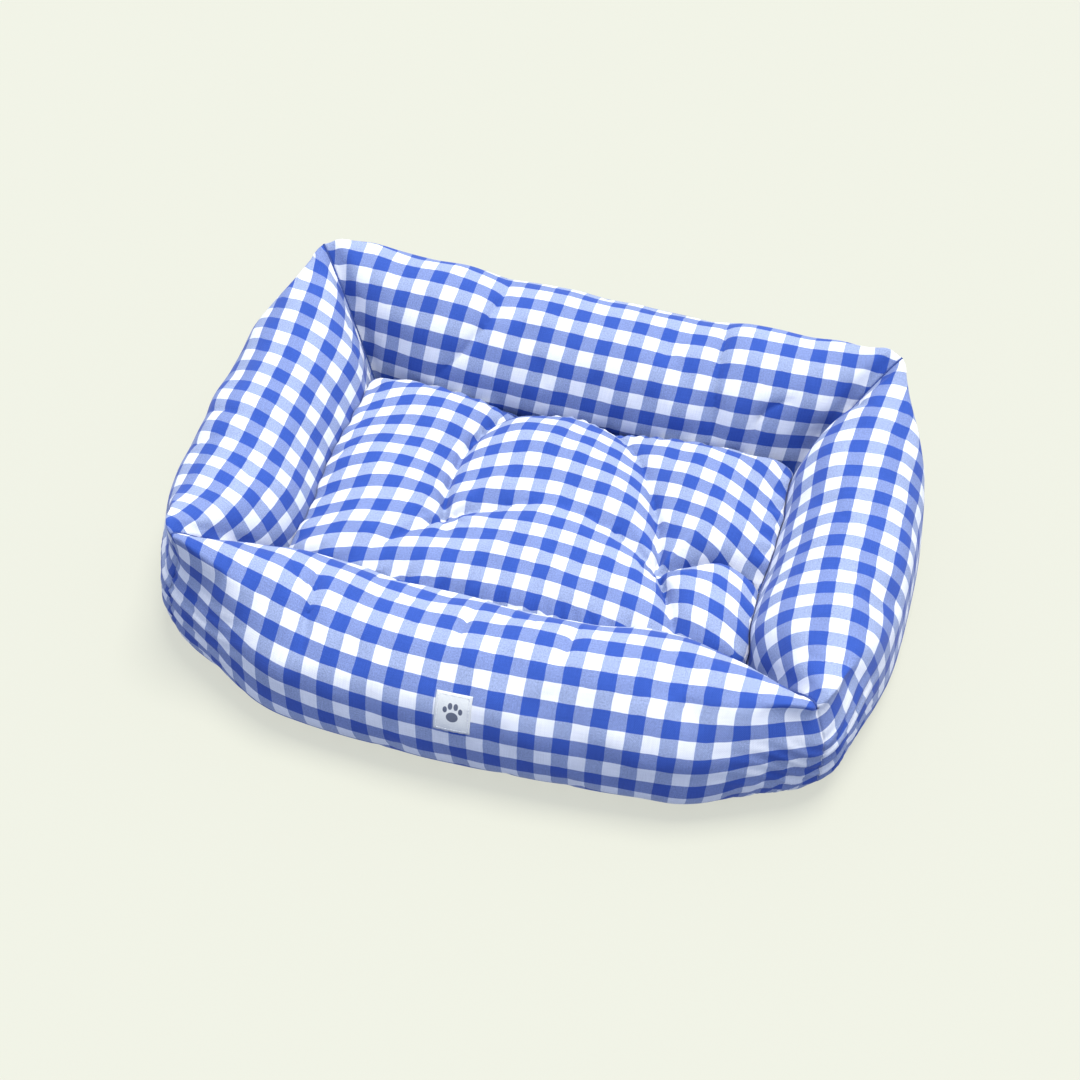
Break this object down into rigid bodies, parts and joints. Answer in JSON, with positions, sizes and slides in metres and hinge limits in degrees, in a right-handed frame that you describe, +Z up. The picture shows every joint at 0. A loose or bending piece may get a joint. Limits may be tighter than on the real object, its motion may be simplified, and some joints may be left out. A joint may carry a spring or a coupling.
{
  "type": "pet bed",
  "caption": "Rectangular pet bed with four stuffed gingham bolsters round a flat base, pinched corner tips, and a loose tufted cushion that lifts out of the nest.",
  "frame": {"origin": "on the floor, under the middle of the bed", "axes": "+X right along the long front, +Y to the rear, +Z up; the label is on the front, which faces -Y"},
  "size_m": [0.676, 0.514, 0.1332],
  "materials": {
    "gingham_cotton": "matt plain weave, woven blue and white checks",
    "gingham_seam": "matt folded seam edge",
    "underside_fabric": "matt canvas with rubber grip dots",
    "fibre_filling": "matt lofty fibre",
    "woven_label": "satin woven ribbon",
    "sewing_thread": "satin polyester thread"
  },
  "bodies": {
    "bed": {"base_lower_panel": "underside_fabric", "base_wadding": "fibre_filling", "base_upper_panel": "gingham_cotton", "base_binding": "gingham_seam", "front_bolster_cover": "gingham_cotton", "right_bolster_cover": "gingham_cotton", "rear_bolster_cover": "gingham_cotton", "left_bolster_cover": "gingham_cotton", "front_bolster_fill": "fibre_filling", "right_bolster_fill": "fibre_filling", "rear_bolster_fill": "fibre_filling", "left_bolster_fill": "fibre_filling", "front_right_corner_seam": "gingham_seam", "rear_right_corner_seam": "gingham_seam", "rear_left_corner_seam": "gingham_seam", "front_left_corner_seam": "gingham_seam", "side_label": "woven_label", "label_stitching": "sewing_thread"},
    "cushion": {"cushion_top_panel": "gingham_cotton", "cushion_bottom_panel": "gingham_cotton", "cushion_fill": "fibre_filling", "cushion_edge_seam": "gingham_seam", "left_tuft_tie": "sewing_thread", "right_tuft_tie": "sewing_thread"}
  },
  "joints": [
    {"name": "cushion_lift", "type": "slide", "parent": "bed", "child": "cushion", "axis": [0, 0, 1], "range_m": [0, 0.2]}
  ]
}
